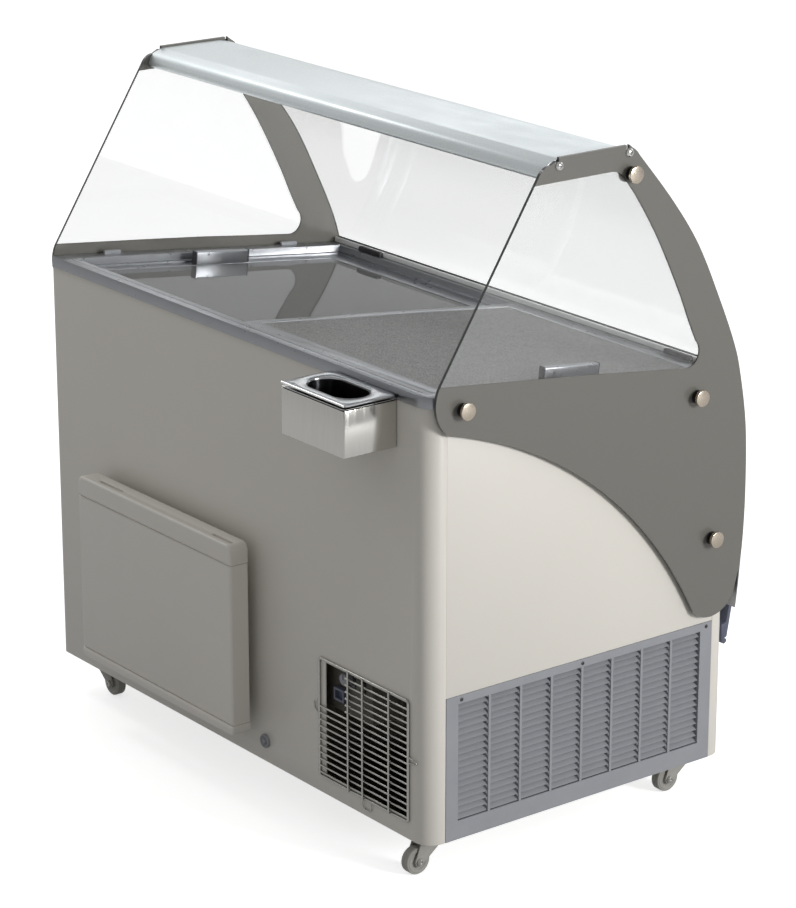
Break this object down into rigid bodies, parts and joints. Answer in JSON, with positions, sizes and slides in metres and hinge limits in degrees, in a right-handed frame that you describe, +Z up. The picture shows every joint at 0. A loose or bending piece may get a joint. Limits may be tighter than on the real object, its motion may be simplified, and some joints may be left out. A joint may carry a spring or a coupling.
{
  "type": "chest freezer",
  "caption": "Chest freezer for scooped ice cream, with sliding glass lids, a curved glass front and canopy, a dipper well, a stowed night cover and casters.",
  "frame": {"origin": "on the floor, under the centre of the bounding box", "axes": "+Z up; +X towards the machine end with the slatted end grille; -Y towards the operator side with the dipper well and night cover; +Y towards the customer side with the curved glass"},
  "size_m": [1.218, 0.8264, 1.2517],
  "materials": {
    "cream_paint": "satin off-white enamel, light orange peel",
    "cap_plastic": "satin moulded plastic, off-white",
    "anodised": "satin anodised, drawn lengthwise",
    "canopy_aluminium": "brushed lengthwise, pale blue cast",
    "stainless": "fine brushed",
    "champagne_metal": "polished, champagne anodised",
    "clear_glass": "clear tempered",
    "grey_plastic": "satin",
    "dark_plastic": "matte",
    "slate_paint": "satin slate",
    "black_paint": "semi-gloss black",
    "foam": "rigid polyurethane foam",
    "caster_grey": "satin",
    "white_seal": "matte white"
  },
  "bodies": {
    "cabinet": {"rear_panel": "cream_paint", "front_panel": "cream_paint", "end_panel_right": "cream_paint", "end_panel_left": "cream_paint", "base_pan": "stainless", "tank_liner": "stainless", "dipper_box": "stainless", "night_cover_cleat": "stainless", "condenser": "stainless", "wire_grille": "stainless", "foam_insulation": "foam", "top_frame": "anodised", "front_sheet": "anodised", "canopy_end_plate_right": "anodised", "canopy_end_plate_left": "anodised", "side_glass_right": "clear_glass", "side_glass_left": "clear_glass", "front_glass": "clear_glass", "glass_clip_right": "dark_plastic", "glass_clip_left": "dark_plastic", "front_glass_seal": "white_seal", "canopy_lamp": "white_seal", "standoff_right_rear": "champagne_metal", "standoff_right_mid": "champagne_metal", "standoff_right_low": "champagne_metal", "standoff_right_top": "champagne_metal", "standoff_left_rear": "champagne_metal", "standoff_left_mid": "champagne_metal", "standoff_left_low": "champagne_metal", "standoff_left_top": "champagne_metal", "front_trim": "slate_paint", "power_inlet": "slate_paint", "canopy": "canopy_aluminium", "end_grille": "grey_plastic", "control_box": "grey_plastic", "compressor": "black_paint", "fan_motor": "black_paint"},
    "lid_upper": {"lid_upper_frame": "anodised", "lid_upper_glass": "clear_glass", "lid_upper_handle": "anodised"},
    "lid_lower": {"lid_lower_frame": "anodised", "lid_lower_glass": "clear_glass", "lid_lower_handle": "anodised"},
    "night_cover_board": {"night_cover": "cap_plastic", "night_cover_top_cap": "cap_plastic", "night_cover_bottom_cap": "cap_plastic"},
    "dipper_insert": {"dipper_top": "stainless", "dipper_basin": "stainless"},
    "drain_stopper": {"drain_plug": "grey_plastic"},
    "thermostat": {"thermostat_knob": "grey_plastic"},
    "switch_rocker": {"power_switch": "dark_plastic"},
    "fan_rotor": {"fan_blade": "grey_plastic"},
    "fork_rear_right": {"caster_fork_rear_right": "caster_grey"},
    "wheel_rear_right": {"caster_wheel_rear_right": "caster_grey"},
    "fork_rear_left": {"caster_fork_rear_left": "caster_grey"},
    "wheel_rear_left": {"caster_wheel_rear_left": "caster_grey"},
    "fork_front_right": {"caster_fork_front_right": "caster_grey"},
    "wheel_front_right": {"caster_wheel_front_right": "caster_grey"},
    "fork_front_left": {"caster_fork_front_left": "caster_grey"},
    "wheel_front_left": {"caster_wheel_front_left": "caster_grey"}
  },
  "joints": [
    {"name": "lid_upper_slide", "type": "slide", "parent": "cabinet", "child": "lid_upper", "axis": [1, 0, 0], "range_m": [-0.5, 0]},
    {"name": "lid_lower_slide", "type": "slide", "parent": "cabinet", "child": "lid_lower", "axis": [1, 0, 0], "range_m": [0, 0.5]},
    {"name": "night_cover_lift", "type": "slide", "parent": "cabinet", "child": "night_cover_board", "axis": [0, 0, 1], "range_m": [0, 0.37]},
    {"name": "dipper_insert_lift", "type": "slide", "parent": "cabinet", "child": "dipper_insert", "axis": [0, 0, 1], "range_m": [0, 0.12]},
    {"name": "drain_stopper_pull", "type": "slide", "parent": "cabinet", "child": "drain_stopper", "axis": [0, -1, 0], "range_m": [0, 0.04]},
    {"name": "thermostat_turn", "type": "hinge", "parent": "cabinet", "child": "thermostat", "pos_m": [0.334, -0.2822, 0.306], "axis": [0, -1, 0], "range_deg": [0, 270]},
    {"name": "switch_rock", "type": "hinge", "parent": "cabinet", "child": "switch_rocker", "pos_m": [0.374, -0.2822, 0.303], "axis": [1, 0, 0], "range_deg": [-14, 0]},
    {"name": "fan_spin", "type": "hinge", "parent": "cabinet", "child": "fan_rotor", "pos_m": [0.483, 0.0528, 0.205], "axis": [1, 0, 0], "continuous": true},
    {"name": "swivel_rear_right", "type": "hinge", "parent": "cabinet", "child": "fork_rear_right", "pos_m": [0.518, -0.2472, 0.07], "axis": [0, 0, 1], "continuous": true},
    {"name": "roll_rear_right", "type": "hinge", "parent": "fork_rear_right", "child": "wheel_rear_right", "pos_m": [0.518, -0.2792, 0.025], "axis": [1, 0, 0], "continuous": true},
    {"name": "swivel_rear_left", "type": "hinge", "parent": "cabinet", "child": "fork_rear_left", "pos_m": [-0.518, -0.2472, 0.07], "axis": [0, 0, 1], "continuous": true},
    {"name": "roll_rear_left", "type": "hinge", "parent": "fork_rear_left", "child": "wheel_rear_left", "pos_m": [-0.486, -0.2472, 0.025], "axis": [0, 1, 0], "continuous": true},
    {"name": "swivel_front_right", "type": "hinge", "parent": "cabinet", "child": "fork_front_right", "pos_m": [0.518, 0.3328, 0.07], "axis": [0, 0, 1], "continuous": true},
    {"name": "roll_front_right", "type": "hinge", "parent": "fork_front_right", "child": "wheel_front_right", "pos_m": [0.518, 0.3008, 0.025], "axis": [1, 0, 0], "continuous": true},
    {"name": "swivel_front_left", "type": "hinge", "parent": "cabinet", "child": "fork_front_left", "pos_m": [-0.518, 0.3328, 0.07], "axis": [0, 0, 1], "continuous": true},
    {"name": "roll_front_left", "type": "hinge", "parent": "fork_front_left", "child": "wheel_front_left", "pos_m": [-0.518, 0.3008, 0.025], "axis": [1, 0, 0], "continuous": true}
  ]
}
